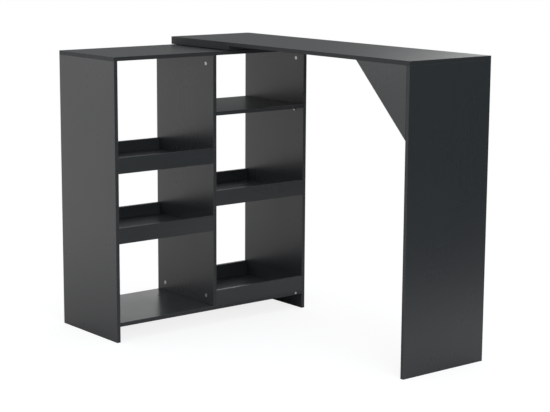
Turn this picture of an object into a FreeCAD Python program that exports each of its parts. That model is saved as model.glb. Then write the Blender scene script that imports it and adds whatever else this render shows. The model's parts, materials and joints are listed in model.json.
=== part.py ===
"""Bar table: an open shelf cabinet with a tabletop that swivels over it on a pivot.

Millimetres, +Z up. The origin is on the floor, in the middle of the L-shaped plan: X runs along the
cabinet, the cabinet's back and the tabletop's back end lie at +Y, the tabletop's leg at -Y.
"""
import FreeCAD, Part
import os
import Sketcher
from FreeCAD import Rotation, Vector

# Driving dimensions
SIZES = {
    # Boards and the outside of the table
    "board": 15,
    "edge_break": 0.6,
    "table_length": 1380,
    "table_width": 390,
    "table_height": 1100,
    "brace_reach": 255,
    # Cabinet, with the clear heights of its compartments from the bottom up: the top ones take the rest
    "cabinet_width": 910,
    "cabinet_depth": 380,
    "floor_clearance": 60,
    "left_low_room": 300,
    "left_middle_room": 248,
    "right_low_room": 395,
    "right_middle_room": 337,
    "rail_height": 60,
    "shelf_play": 0.5,
    # Cam fittings: a disc let into one board draws in a bolt that is screwed into the other
    "cam_radius": 7.4,
    "cam_play": 0.1,
    "cam_reach": 34,
    "cam_skin": 2.3,
    "cam_cross_length": 8,
    "cam_cross_width": 1.6,
    "cam_cross_depth": 1.8,
    "bolt_radius": 3.2,
    "bolt_neck_radius": 2,
    "bolt_neck_length": 3.5,
    "bolt_head_length": 5,
    "bolt_play": 0.05,
    "bolt_skin": 3.5,
    "bolt_drill_play": 0.8,
    "fitting_inset": 50,
    "brace_fitting_place": 130,
    # Wooden dowels
    "dowel_radius": 4,
    "dowel_play": 0.05,
    "dowel_skin": 5,
    "dowel_depth": 20,
    "leg_dowel_inset": 70,
    # Shelf supports: a wedge under the shelf on a pin in the panel
    "support_inset": 53,
    "support_reach": 12,
    "support_drop": 14,
    "support_width": 9,
    "support_pin_radius": 2.5,
    "support_pin_length": 9,
    "support_pin_drop": 7,
    "support_play": 0.05,
    # Screws up through the swivel block, and the larger one in the bottom board's front edge
    "screw_radius": 2,
    "screw_skin": 4,
    "screw_head_radius": 4,
    "screw_head_height": 2.5,
    "screw_play": 0.1,
    "screw_inset": 40,
    "edge_screw_radius": 3,
    "edge_screw_length": 30,
    "edge_screw_head_radius": 5.5,
    "edge_screw_head_height": 3,
    "edge_screw_inset": 31,
    # Swivel: bolt in a bush, glide disc between the boards, washer and lock nut below
    "swivel_gap": 2,
    "glide_radius": 150,
    "glide_play": 0.2,
    "pivot_radius": 4,
    "pivot_running_play": 0.06,
    "pivot_tail": 3,
    "pivot_head_radius": 10,
    "pivot_head_height": 4.4,
    "pivot_neck_margin": 0.2,
    "pivot_neck_height": 4.4,
    "pivot_seat_play": 0.2,
    "bush_wall": 2,
    "bush_play": 0.05,
    "bush_stop": 0.3,
    "washer_radius": 12,
    "washer_thickness": 2,
    "nut_across_flats": 13,
    "nut_height": 8,
}

# Places that follow from the sizes, as expressions of the sheet
HALF_BOARD = "(Sizes.board / 2)"
LEFT = "(-Sizes.cabinet_width / 2)"
RIGHT = "(Sizes.cabinet_width / 2)"
BACK = "(Sizes.table_length / 2)"
FRONT = f"({BACK} - Sizes.cabinet_depth)"
LEFT_INNER = f"({LEFT} + Sizes.board)"
RIGHT_INNER = f"({RIGHT} - Sizes.board)"
CENTRE_LEFT = f"(-{HALF_BOARD})"
CENTRE_RIGHT = HALF_BOARD
COLUMN = f"({RIGHT_INNER} - {CENTRE_RIGHT})"
TABLE_NEAR = f"({RIGHT} - Sizes.table_width)"
TABLE_END = f"(-{BACK})"
LEG_INNER = f"({TABLE_END} + Sizes.board)"
PIVOT_X = f"({RIGHT} - Sizes.table_width / 2)"
MIDDLE_Y = f"({BACK} - Sizes.cabinet_depth / 2)"

# Levels: the undersides of boards above the floor, and the tops of some of them
TABLE_UNDER = "(Sizes.table_height - Sizes.board)"
BLOCK_UNDER = f"({TABLE_UNDER} - Sizes.board)"
CABINET_HEIGHT = f"({BLOCK_UNDER} - Sizes.swivel_gap)"
PANEL_TOP = f"({CABINET_HEIGHT} - Sizes.board)"
BOTTOM_TOP = "(Sizes.floor_clearance + Sizes.board)"
LEFT_LOWER = f"({BOTTOM_TOP} + Sizes.left_low_room)"
LEFT_UPPER = f"({LEFT_LOWER} + Sizes.board + Sizes.left_middle_room)"
RIGHT_MIDDLE = f"({BOTTOM_TOP} + Sizes.right_low_room)"
RIGHT_SHELF = f"({RIGHT_MIDDLE} + Sizes.board + Sizes.right_middle_room)"

# Rows of fittings near the cabinet's front and back
FIT_FRONT = f"({FRONT} + Sizes.fitting_inset)"
FIT_BACK = f"({BACK} - Sizes.fitting_inset)"

# Radii and depths of the drillings
CAM_HOLE = "(Sizes.cam_radius + Sizes.cam_play)"
CAM_HOLE_DEPTH = "(Sizes.board - Sizes.cam_skin)"
BOLT_HOLE = "(Sizes.bolt_radius + Sizes.bolt_play)"
BOLT_HOLE_DEPTH = "(Sizes.board - Sizes.bolt_skin)"
BOLT_DRILL = "(Sizes.bolt_radius + Sizes.bolt_drill_play)"
DOWEL_HOLE = "(Sizes.dowel_radius + Sizes.dowel_play)"
DOWEL_FACE_DEPTH = "(Sizes.board - Sizes.dowel_skin)"
PIVOT_HOLE = "(Sizes.pivot_radius + Sizes.pivot_running_play)"
BUSH_RADIUS = f"({PIVOT_HOLE} + Sizes.bush_wall)"

AXES = "xyz"
ORIGIN = ("0", "0")
UNIT = {
    "-X": Vector(-1, 0, 0),
    "+X": Vector(1, 0, 0),
    "-Y": Vector(0, -1, 0),
    "+Y": Vector(0, 1, 0),
    "-Z": Vector(0, 0, -1),
    "+Z": Vector(0, 0, 1),
}
# Each face of a board: the plane to sketch on, that plane's two axes, which size lifts the sketch to
# the face and with which sign, and whether a drilling runs along the plane's normal
FACES = {
    "-X": ("YZ_Plane", (1, 2), None, 1, True),
    "+X": ("YZ_Plane", (1, 2), 0, 1, False),
    "-Y": ("XZ_Plane", (0, 2), None, 1, False),
    "+Y": ("XZ_Plane", (0, 2), 1, -1, True),
    "-Z": ("XY_Plane", (0, 1), None, 1, True),
    "+Z": ("XY_Plane", (0, 1), 2, 1, False),
}
# Signs of an octagon's corners: its half width and half side swap from corner to corner
OCTAGON_SIDES = ((1, 1), (-1, 1), (-1, -1), (1, -1))
# A sketch's lines start on a rough circle of this radius, before the sheet's values take over
ROUGH_RADIUS = 10

doc = FreeCAD.newDocument("BarTable")
sheet = doc.addObject("Spreadsheet::Sheet", "Sizes")
for row, (alias, value) in enumerate(SIZES.items(), start=1):
    sheet.set(f"A{row}", alias)
    sheet.set(f"B{row}", str(value))
    sheet.setAlias(f"B{row}", alias)
doc.recompute()

sub_parts = []


def new_body(label):
    """An empty body."""
    body = doc.addObject("PartDesign::Body", label)
    body.Label = label
    return body


def hand_out(item, label, corner=()):
    """Name a finished sub-part and bind its place to the sheet."""
    item.Label = label
    for axis, place in zip(AXES, corner):
        item.setExpression(f"Placement.Base.{axis}", place)
    sub_parts.append(item)


def sketch_on(body, role, lift=None):
    """A sketch on one of the body's own planes, lifted along its normal."""
    sketch = body.newObject("Sketcher::SketchObject", f"{body.Label}_sketch")
    plane = next(item for item in body.Origin.OriginFeatures if item.Role == role)
    sketch.AttachmentSupport = [(plane, "")]
    sketch.MapMode = "FlatFace"
    if lift:
        sketch.setExpression("AttachmentOffset.Base.z", lift)
    return sketch


def bind(sketch, constraint, expression):
    """Add a constraint whose value comes from the sheet."""
    index = sketch.addConstraint(constraint)
    sketch.setExpression(f"Constraints[{index}]", expression)


def polygon(sketch, corners):
    """A closed outline through corners, each an expression pair measured from the sketch's origin."""
    turn = Rotation(UNIT["+Z"], 360 / len(corners))
    rough = [Vector(ROUGH_RADIUS, 0, 0)]
    for _ in corners[1:]:
        rough.append(turn.multVec(rough[-1]))
    first = sketch.GeometryCount
    for index, start in enumerate(rough):
        sketch.addGeometry(Part.LineSegment(start, rough[(index + 1) % len(rough)]))
    for index, (across, along) in enumerate(corners):
        line = first + index
        before = first + (index - 1) % len(corners)
        sketch.addConstraint(Sketcher.Constraint("Coincident", before, 2, line, 1))
        bind(sketch, Sketcher.Constraint("DistanceX", -1, 1, line, 1, rough[index].x), across)
        bind(sketch, Sketcher.Constraint("DistanceY", -1, 1, line, 1, rough[index].y), along)


def rectangle(sketch, centre, half_across, half_along):
    """A rectangle about a centre."""
    across, along = centre
    signs = ("+", "+"), ("-", "+"), ("-", "-"), ("+", "-")
    polygon(sketch, [(f"{across} {a} {half_across}", f"{along} {b} {half_along}") for a, b in signs])


def circles(sketch, centres, radius):
    """Equal circles at centres, each an expression pair measured from the sketch's origin."""
    for index, (across, along) in enumerate(centres, start=1):
        rough = Vector(ROUGH_RADIUS * index, ROUGH_RADIUS, 0)
        circle = sketch.addGeometry(Part.Circle(rough, UNIT["+Z"], 1))
        bind(sketch, Sketcher.Constraint("DistanceX", -1, 1, circle, 3, rough.x), across)
        bind(sketch, Sketcher.Constraint("DistanceY", -1, 1, circle, 3, rough.y), along)
        bind(sketch, Sketcher.Constraint("Radius", circle, 1), radius)


def octagons(sketch, centres, half_width):
    """Equal octagons at centres: the section of the many hidden dowels, bolts and their holes."""
    half_side = f"{half_width} * (sqrt(2) - 1)"
    for across, along in centres:
        corners = []
        for index, (a, b) in enumerate(OCTAGON_SIDES):
            ends = [(half_width, half_side), (half_side, half_width)]
            for wide, high in ends if index % 2 == 0 else reversed(ends):
                corners.append((f"{across} + {a} * {wide}", f"{along} + {b} * {high}"))
        polygon(sketch, corners)


def extrude(body, kind, sketch, length, reverse=False):
    """A pad or a pocket of a sketch."""
    feature = body.newObject(kind, f"{body.Label}_{kind.split('::')[1]}")
    feature.Profile = sketch
    feature.Reversed = reverse
    feature.setExpression("Length", length)


class Board:
    """A board with eased edges, placed by its left front lower corner."""

    def __init__(self, label, corner, size):
        self.corner = corner
        self.size = size
        self.body = new_body(label)
        self.saw()
        doc.recompute()
        chamfer = self.body.newObject("PartDesign::Chamfer", f"{label}_eased_edges")
        chamfer.Base = (chamfer.BaseFeature, [])
        chamfer.UseAllEdges = True
        chamfer.setExpression("Size", "Sizes.edge_break")
        hand_out(self.body, label, corner)

    def saw(self):
        """The rectangular blank."""
        width, depth, height = self.size
        outline = sketch_on(self.body, "XY_Plane")
        polygon(outline, [ORIGIN, (width, "0"), (width, depth), ("0", depth)])
        extrude(self.body, "PartDesign::Pad", outline, height)

    def cut(self, face, points, depth, draw):
        """Pockets in a face, at points in the table's frame, with the outline that draw makes."""
        role, axes, lifted_by, sign, along_normal = FACES[face]
        lift = None if lifted_by is None else f"{sign} * {self.size[lifted_by]}"
        sketch = sketch_on(self.body, role, lift)
        draw(sketch, [[f"{point[axis]} - {self.corner[axis]}" for axis in axes] for point in points])
        extrude(self.body, "PartDesign::Pocket", sketch, depth, along_normal)

    def bore(self, face, point, radius, depth):
        """A round hole in a face."""
        self.cut(face, [point], depth, lambda sketch, centres: circles(sketch, centres, radius))

    def drill(self, face, points, radius, depth):
        """Hidden eight-sided holes in a face."""
        self.cut(face, points, depth, lambda sketch, centres: octagons(sketch, centres, radius))


class Brace(Board):
    """A right-angled triangular board, its right angle at the back of its upper edge."""

    def saw(self):
        """The triangular blank."""
        thickness, depth, height = self.size
        outline = sketch_on(self.body, "YZ_Plane")
        polygon(outline, [ORIGIN, (depth, height), ("0", height)])
        extrude(self.body, "PartDesign::Pad", outline, thickness)


def pin(label, lengths):
    """A dowel, bolt or screw: eight-sided lengths along Z, each a half width, a start and an end."""
    body = new_body(label)
    for half_width, start, end in lengths:
        outline = sketch_on(body, "XY_Plane", start)
        octagons(outline, [ORIGIN], half_width)
        extrude(body, "PartDesign::Pad", outline, f"{end} - {start}")
    return body


def ring(label, outer, inner, height, base):
    """A flat ring on the pivot's axis."""
    body = new_body(label)
    outline = sketch_on(body, "XY_Plane")
    circles(outline, [ORIGIN], outer)
    circles(outline, [ORIGIN], inner)
    extrude(body, "PartDesign::Pad", outline, height)
    hand_out(body, label, (PIVOT_X, MIDDLE_Y, base))


def group(label, pattern, places):
    """Copies of a fitting as one named sub-part: each place is an expression triple and a turn."""
    copies = []
    for place, turn in places:
        copy = doc.addObject("App::Link", f"{label}_copy")
        copy.LinkedObject = pattern
        copy.Placement = FreeCAD.Placement(Vector(), turn)
        for axis, expression in zip(AXES, place):
            copy.setExpression(f"Placement.Base.{axis}", expression)
        copies.append(copy)
    compound = doc.addObject("Part::Compound", label)
    compound.Links = copies
    hand_out(compound, label)


def toward(direction):
    """Turn a fitting's own +Z to a direction of the table."""
    return Rotation(UNIT["+Z"], UNIT[direction])


def facing(outward, pull):
    """Turn a cam's face outward and its mouth to the side that the bolt comes from."""
    return Rotation(UNIT[pull], Vector(), UNIT[outward], "ZXY")


# Fittings of each body, collected while the joints are drilled
cabinet_fittings = {"cams": [], "bolts": [], "dowels": []}
table_fittings = {"cams": [], "bolts": [], "dowels": []}


def cam_joint(fittings, cam_board, cam_face, cam_point, edge, edge_point, bolt_board, bolt_face):
    """A disc in a face of one board and a bolt through that board's edge into the other board."""
    cam_board.bore(cam_face, cam_point, CAM_HOLE, CAM_HOLE_DEPTH)
    cam_board.drill(edge, [edge_point], BOLT_DRILL, "Sizes.cam_reach")
    bolt_board.drill(bolt_face, [edge_point], BOLT_HOLE, BOLT_HOLE_DEPTH)
    fittings["cams"].append((cam_point, facing(cam_face, edge)))
    fittings["bolts"].append((edge_point, toward(bolt_face)))


def dowel_joint(fittings, edge_board, edge, face_board, face, point):
    """A dowel from the edge of one board into the face of another."""
    edge_board.drill(edge, [point], DOWEL_HOLE, "Sizes.dowel_depth")
    face_board.drill(face, [point], DOWEL_HOLE, DOWEL_FACE_DEPTH)
    fittings["dowels"].append((point, toward(face)))


# Cabinet panels
side_size = ("Sizes.board", "Sizes.cabinet_depth", PANEL_TOP)
centre_size = ("Sizes.board", "Sizes.cabinet_depth", f"({PANEL_TOP} - {BOTTOM_TOP})")
top_size = ("Sizes.cabinet_width", "Sizes.cabinet_depth", "Sizes.board")
bottom_size = ("(Sizes.cabinet_width - 2 * Sizes.board)", "Sizes.cabinet_depth", "Sizes.board")
left_side = Board("left_side_panel", (LEFT, FRONT, "0"), side_size)
right_side = Board("right_side_panel", (RIGHT_INNER, FRONT, "0"), side_size)
centre = Board("centre_panel", (CENTRE_LEFT, FRONT, BOTTOM_TOP), centre_size)
cabinet_top = Board("cabinet_top", (LEFT, FRONT, PANEL_TOP), top_size)
bottom = Board("bottom_board", (LEFT_INNER, FRONT, "Sizes.floor_clearance"), bottom_size)

# Trays: a board between a front and a rear rail, all dowelled to the panels on both sides
COLUMNS = {
    "left": (LEFT_INNER, left_side, CENTRE_LEFT, centre),
    "right": (CENTRE_RIGHT, centre, RIGHT_INNER, right_side),
}


def between_panels(label, column, y, level, depth, height):
    """A board from panel to panel of a column, with a dowel in the middle of each end."""
    start, start_panel, end, end_panel = COLUMNS[column]
    board = Board(label, (start, y, level), (COLUMN, depth, height))
    middle = (f"({y} + {depth} / 2)", f"({level} + {height} / 2)")
    dowel_joint(cabinet_fittings, board, "-X", start_panel, "+X", (start, *middle))
    dowel_joint(cabinet_fittings, board, "+X", end_panel, "-X", (end, *middle))


def rails(name, column, level):
    """The front and rear rail of a tray, flush with the cabinet's front and back."""
    for side, y in (("front", FRONT), ("rear", f"({BACK} - Sizes.board)")):
        between_panels(f"{name}_{side}_rail", column, y, level, "Sizes.board", "Sizes.rail_height")


def tray(name, column, level):
    """A tray board flush with the lower edges of its rails."""
    depth = "(Sizes.cabinet_depth - 2 * Sizes.board)"
    between_panels(f"{name}_tray_board", column, f"({FRONT} + Sizes.board)", level, depth, "Sizes.board")
    rails(name, column, level)


tray("left_upper", "left", LEFT_UPPER)
tray("left_lower", "left", LEFT_LOWER)
tray("right_middle", "right", RIGHT_MIDDLE)
rails("right_bottom", "right", BOTTOM_TOP)

# Plain shelf, loose on four supports
Board(
    "right_upper_shelf",
    (f"({CENTRE_RIGHT} + Sizes.shelf_play)", FRONT, RIGHT_SHELF),
    (f"({COLUMN} - 2 * Sizes.shelf_play)", "Sizes.cabinet_depth", "Sizes.board"),
)

# Table: top, swivel block under its back end, leg panel and the brace flush with their left edges
tabletop_size = ("Sizes.table_width", "Sizes.table_length", "Sizes.board")
block_size = ("Sizes.table_width", "Sizes.cabinet_depth", "Sizes.board")
leg_size = ("Sizes.table_width", "Sizes.board", TABLE_UNDER)
brace_size = ("Sizes.board", "Sizes.brace_reach", "Sizes.brace_reach")
tabletop = Board("tabletop", (TABLE_NEAR, TABLE_END, TABLE_UNDER), tabletop_size)
block = Board("swivel_block", (TABLE_NEAR, FRONT, BLOCK_UNDER), block_size)
leg = Board("leg_panel", (TABLE_NEAR, TABLE_END, "0"), leg_size)
brace = Brace("corner_brace", (TABLE_NEAR, LEG_INNER, f"({TABLE_UNDER} - Sizes.brace_reach)"), brace_size)

# Upright panels under the cabinet top: a cam near the front, a dowel near the back
for panel, cam_face, face_x in (
    (left_side, "+X", LEFT_INNER),
    (centre, "-X", CENTRE_LEFT),
    (right_side, "-X", RIGHT_INNER),
):
    middle_x = f"({panel.corner[0]} + {HALF_BOARD})"
    cam_point = (face_x, FIT_FRONT, f"({PANEL_TOP} - Sizes.cam_reach)")
    bolt_point = (middle_x, FIT_FRONT, PANEL_TOP)
    cam_joint(cabinet_fittings, panel, cam_face, cam_point, "+Z", bolt_point, cabinet_top, "-Z")
    dowel_joint(cabinet_fittings, panel, "+Z", cabinet_top, "-Z", (middle_x, FIT_BACK, PANEL_TOP))

# Centre panel on the bottom board: two cams low on its left face
for y in (FIT_FRONT, FIT_BACK):
    cam_point = (CENTRE_LEFT, y, f"({BOTTOM_TOP} + Sizes.cam_reach)")
    cam_joint(cabinet_fittings, centre, "-X", cam_point, "-Z", ("0", y, BOTTOM_TOP), bottom, "+Z")

# Bottom board between the side panels: a cam under its front corners, a dowel near the back
bottom_middle = f"(Sizes.floor_clearance + {HALF_BOARD})"
for end_x, inward, end_face, panel, panel_face in (
    (LEFT_INNER, "+", "-X", left_side, "+X"),
    (RIGHT_INNER, "-", "+X", right_side, "-X"),
):
    cam_point = (f"({end_x} {inward} Sizes.cam_reach)", FIT_FRONT, "Sizes.floor_clearance")
    bolt_point = (end_x, FIT_FRONT, bottom_middle)
    cam_joint(cabinet_fittings, bottom, "-Z", cam_point, end_face, bolt_point, panel, panel_face)
    dowel_joint(cabinet_fittings, bottom, end_face, panel, panel_face, (end_x, FIT_BACK, bottom_middle))

# Leg panel under the tabletop: a cam in the middle of its inner face and a dowel to each side
leg_y = f"({TABLE_END} + {HALF_BOARD})"
leg_cam = (PIVOT_X, LEG_INNER, f"({TABLE_UNDER} - Sizes.cam_reach)")
cam_joint(table_fittings, leg, "+Y", leg_cam, "+Z", (PIVOT_X, leg_y, TABLE_UNDER), tabletop, "-Z")
for leg_x in (f"({TABLE_NEAR} + Sizes.leg_dowel_inset)", f"({RIGHT} - Sizes.leg_dowel_inset)"):
    dowel_joint(table_fittings, leg, "+Z", tabletop, "-Z", (leg_x, leg_y, TABLE_UNDER))

# Brace: one cam toward the tabletop and one toward the leg, both on the side that faces inward
brace_x = f"({TABLE_NEAR} + {HALF_BOARD})"
brace_face_x = f"({TABLE_NEAR} + Sizes.board)"
brace_y = f"({LEG_INNER} + Sizes.brace_fitting_place)"
brace_z = f"({TABLE_UNDER} - Sizes.brace_fitting_place)"
upper_cam = (brace_face_x, brace_y, f"({TABLE_UNDER} - Sizes.cam_reach)")
lower_cam = (brace_face_x, f"({LEG_INNER} + Sizes.cam_reach)", brace_z)
cam_joint(table_fittings, brace, "+X", upper_cam, "+Z", (brace_x, brace_y, TABLE_UNDER), tabletop, "-Z")
cam_joint(table_fittings, brace, "+X", lower_cam, "-Y", (brace_x, LEG_INNER, brace_z), leg, "+Y")

# Cam disc, its face at its own origin and its mouth toward its own +X
cam_disc = new_body("cam_disc")
disc_outline = sketch_on(cam_disc, "XY_Plane")
circles(disc_outline, [ORIGIN], "Sizes.cam_radius")
extrude(cam_disc, "PartDesign::Pad", disc_outline, f"{CAM_HOLE_DEPTH} - Sizes.cam_play", True)
cross_half = "(Sizes.cam_cross_length / 2)"
cross_side = "(Sizes.cam_cross_width / 2)"
for half_across, half_along in ((cross_half, cross_side), (cross_side, cross_half)):
    slot = sketch_on(cam_disc, "XY_Plane")
    rectangle(slot, ORIGIN, half_across, half_along)
    extrude(cam_disc, "PartDesign::Pocket", slot, "Sizes.cam_cross_depth")
mouth = sketch_on(cam_disc, "YZ_Plane", f"-{BOLT_DRILL}")
rectangle(mouth, ("0", f"-{HALF_BOARD}"), BOLT_DRILL, BOLT_DRILL)
extrude(cam_disc, "PartDesign::Pocket", mouth, f"{BOLT_DRILL} + Sizes.cam_radius", True)

# Cam bolt, screwed in below its own origin, its necked head reaching up into the cam
bolt_foot = f"(Sizes.bolt_play - {BOLT_HOLE_DEPTH})"
bolt_end = "(Sizes.cam_reach + Sizes.bolt_radius)"
neck_end = f"({bolt_end} - Sizes.bolt_head_length)"
neck_start = f"({neck_end} - Sizes.bolt_neck_length)"
cam_bolt = pin(
    "cam_bolt",
    [
        ("Sizes.bolt_radius", bolt_foot, neck_start),
        ("Sizes.bolt_neck_radius", neck_start, neck_end),
        ("Sizes.bolt_radius", neck_end, bolt_end),
    ],
)

# Dowel, its shallow end below its own origin
dowel_start = f"(Sizes.dowel_play - {DOWEL_FACE_DEPTH})"
dowel_end = "(Sizes.dowel_depth - Sizes.dowel_play)"
dowel = pin("dowel", [("Sizes.dowel_radius", dowel_start, dowel_end)])

for body_name, fittings in (("cabinet", cabinet_fittings), ("table", table_fittings)):
    group(f"{body_name}_cam_discs", cam_disc, fittings["cams"])
    group(f"{body_name}_cam_bolts", cam_bolt, fittings["bolts"])
    group(f"{body_name}_dowels", dowel, fittings["dowels"])

# Shelf support, its own origin at the panel's face under the shelf, the shelf toward its own +X
support = new_body("shelf_support")
wedge = sketch_on(support, "XZ_Plane", "-Sizes.support_width / 2")
polygon(wedge, [ORIGIN, ("0", "-Sizes.support_drop"), ("Sizes.support_reach", "0")])
extrude(support, "PartDesign::Pad", wedge, "Sizes.support_width")
support_pin = sketch_on(support, "YZ_Plane")
octagons(support_pin, [("0", "-Sizes.support_pin_drop")], "Sizes.support_pin_radius")
extrude(support, "PartDesign::Pad", support_pin, "Sizes.support_pin_length", True)
supports = []
support_hole = "(Sizes.support_pin_radius + Sizes.support_play)"
support_depth = "(Sizes.support_pin_length + Sizes.support_play)"
support_rows = (f"({FRONT} + Sizes.support_inset)", f"({BACK} - Sizes.support_inset)")
for panel, face, face_x, turn in ((centre, "+X", CENTRE_RIGHT, 0), (right_side, "-X", RIGHT_INNER, 180)):
    pin_points = [(face_x, y, f"({RIGHT_SHELF} - Sizes.support_pin_drop)") for y in support_rows]
    panel.drill(face, pin_points, support_hole, support_depth)
    supports += [((face_x, y, RIGHT_SHELF), Rotation(UNIT["+Z"], turn)) for y in support_rows]
group("shelf_supports", support, supports)

# Screws from below the swivel block into the tabletop, their heads sunk in the block
screw_length = "(2 * Sizes.board - Sizes.screw_skin)"
screw_hole = "(Sizes.screw_radius + Sizes.screw_play)"
screw_seat = "(Sizes.screw_head_radius + Sizes.screw_play)"
block_screw = pin(
    "block_screw",
    [
        ("Sizes.screw_head_radius", "0", "Sizes.screw_head_height"),
        ("Sizes.screw_radius", "Sizes.screw_head_height", screw_length),
    ],
)
screw_points = [
    (x, y, BLOCK_UNDER)
    for x in (f"({TABLE_NEAR} + Sizes.screw_inset)", f"({RIGHT} - Sizes.screw_inset)")
    for y in (f"({FRONT} + Sizes.screw_inset)", f"({BACK} - Sizes.screw_inset)")
]
block.drill("-Z", screw_points, screw_seat, "Sizes.screw_head_height")
block.drill("-Z", screw_points, screw_hole, "Sizes.board")
tabletop.drill("-Z", screw_points, screw_hole, f"{screw_length} + Sizes.screw_play - Sizes.board")
group("swivel_block_screws", block_screw, [(point, toward("+Z")) for point in screw_points])

# Screw in the front edge of the bottom board, near its right end
edge_point = (f"({RIGHT_INNER} - Sizes.edge_screw_inset)", FRONT, bottom_middle)
edge_seat = "(Sizes.edge_screw_head_radius + Sizes.screw_play)"
edge_hole = "(Sizes.edge_screw_radius + Sizes.screw_play)"
bottom.bore("-Y", edge_point, edge_seat, "Sizes.edge_screw_head_height")
bottom.drill("-Y", [edge_point], edge_hole, "Sizes.edge_screw_length + Sizes.screw_play")
edge_screw = new_body("bottom_edge_screw")
head_outline = sketch_on(edge_screw, "XZ_Plane")
circles(head_outline, [ORIGIN], "Sizes.edge_screw_head_radius")
extrude(edge_screw, "PartDesign::Pad", head_outline, "Sizes.edge_screw_head_height", True)
shank_outline = sketch_on(edge_screw, "XZ_Plane")
octagons(shank_outline, [ORIGIN], "Sizes.edge_screw_radius")
extrude(edge_screw, "PartDesign::Pad", shank_outline, "Sizes.edge_screw_length", True)
hand_out(edge_screw, "bottom_edge_screw", edge_point)

# Seats of the pivot: head and square neck sunk in the swivel block, bush in the cabinet top
pivot_point = (PIVOT_X, MIDDLE_Y, TABLE_UNDER)
head_seat = "(Sizes.pivot_head_radius + Sizes.pivot_seat_play)"
head_room = "(Sizes.pivot_head_height + Sizes.pivot_seat_play)"
neck_half = "(Sizes.pivot_radius + Sizes.pivot_neck_margin)"
neck_seat = f"({neck_half} + Sizes.pivot_seat_play)"
neck_room = f"({head_room} + Sizes.pivot_neck_height)"
block.bore("+Z", pivot_point, head_seat, head_room)
block.cut("+Z", [pivot_point], neck_room, lambda sketch, at: rectangle(sketch, at[0], neck_seat, neck_seat))
block.bore("+Z", pivot_point, PIVOT_HOLE, "Sizes.board")
bush_point = (PIVOT_X, MIDDLE_Y, CABINET_HEIGHT)
cabinet_top.bore("+Z", bush_point, f"({BUSH_RADIUS} + Sizes.bush_play)", "Sizes.board")

# Pivot bolt, its head's face at its own origin and its shank downward through washer and nut
washer_base = f"({PANEL_TOP} - Sizes.washer_thickness)"
nut_base = f"({washer_base} - Sizes.nut_height)"
shank_length = f"({TABLE_UNDER} - {nut_base} + Sizes.pivot_tail)"
pivot_bolt = new_body("pivot_bolt")
for radius, length in (
    ("Sizes.pivot_head_radius", "Sizes.pivot_head_height"),
    ("Sizes.pivot_radius", shank_length),
):
    bolt_outline = sketch_on(pivot_bolt, "XY_Plane")
    circles(bolt_outline, [ORIGIN], radius)
    extrude(pivot_bolt, "PartDesign::Pad", bolt_outline, length, True)
square_neck = sketch_on(pivot_bolt, "XY_Plane")
rectangle(square_neck, ORIGIN, neck_half, neck_half)
neck_length = "Sizes.pivot_head_height + Sizes.pivot_neck_height"
extrude(pivot_bolt, "PartDesign::Pad", square_neck, neck_length, True)
hand_out(pivot_bolt, "pivot_bolt", pivot_point)

# Bush, glide disc and washer on the pivot's axis
bush_height = "(Sizes.board + Sizes.swivel_gap - Sizes.bush_stop)"
ring("pivot_bush", BUSH_RADIUS, PIVOT_HOLE, bush_height, PANEL_TOP)
glide_hole = f"({BUSH_RADIUS} + Sizes.glide_play)"
ring("glide_disc", "Sizes.glide_radius", glide_hole, "Sizes.swivel_gap", CABINET_HEIGHT)
ring("pivot_washer", "Sizes.washer_radius", PIVOT_HOLE, "Sizes.washer_thickness", washer_base)

# Lock nut: a hexagon with a bore on the bolt's shank
nut = new_body("pivot_lock_nut")
hexagon = sketch_on(nut, "XY_Plane")
half_flats = "(Sizes.nut_across_flats / 2)"
nut_corner = "(Sizes.nut_across_flats / sqrt(3))"
nut_side = "(Sizes.nut_across_flats / sqrt(12))"
polygon(
    hexagon,
    [
        (nut_corner, "0"),
        (nut_side, half_flats),
        (f"-{nut_side}", half_flats),
        (f"-{nut_corner}", "0"),
        (f"-{nut_side}", f"-{half_flats}"),
        (nut_side, f"-{half_flats}"),
    ],
)
circles(hexagon, [ORIGIN], PIVOT_HOLE)
extrude(nut, "PartDesign::Pad", hexagon, "Sizes.nut_height")
hand_out(nut, "pivot_lock_nut", (PIVOT_X, MIDDLE_Y, nut_base))

# Build, test and write
doc.recompute()
for item in doc.Objects:
    if {"Invalid", "Error"} & set(item.State):
        raise RuntimeError(f"{item.Label} failed: {item.State}")
    if item.TypeId == "PartDesign::Pocket" and item.Shape.Volume >= item.BaseFeature.Shape.Volume:
        raise RuntimeError(f"{item.Label} cuts nothing")
for item in sub_parts:
    if item.Shape.isNull() or not item.Shape.isValid():
        raise RuntimeError(f"{item.Label} has no valid shape")
os.makedirs("parts", exist_ok=True)
for item in sub_parts:
    item.Shape.exportStep(f"parts/{item.Label}.step")
    print(f"{item.Label}: {len(item.Shape.Solids)} solid(s), {item.Shape.Volume / 1000:.1f} cm3")
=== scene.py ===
# %% [markdown]
# # A bar table with a swivelling top
# The real table is flat-pack furniture: black laminated chipboard boards, drawn together by small cam
# fittings, with a tabletop that turns on a bolt over an open shelf cabinet. The CAD model already holds
# every board at its real size and place. Rebuilding the boards here would only risk another size, so this
# lesson keeps them, gives them their finish, and models the small metal fittings in full detail.

import json
import math

import bmesh
import bpy
from mathutils import Matrix, Vector

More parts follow.
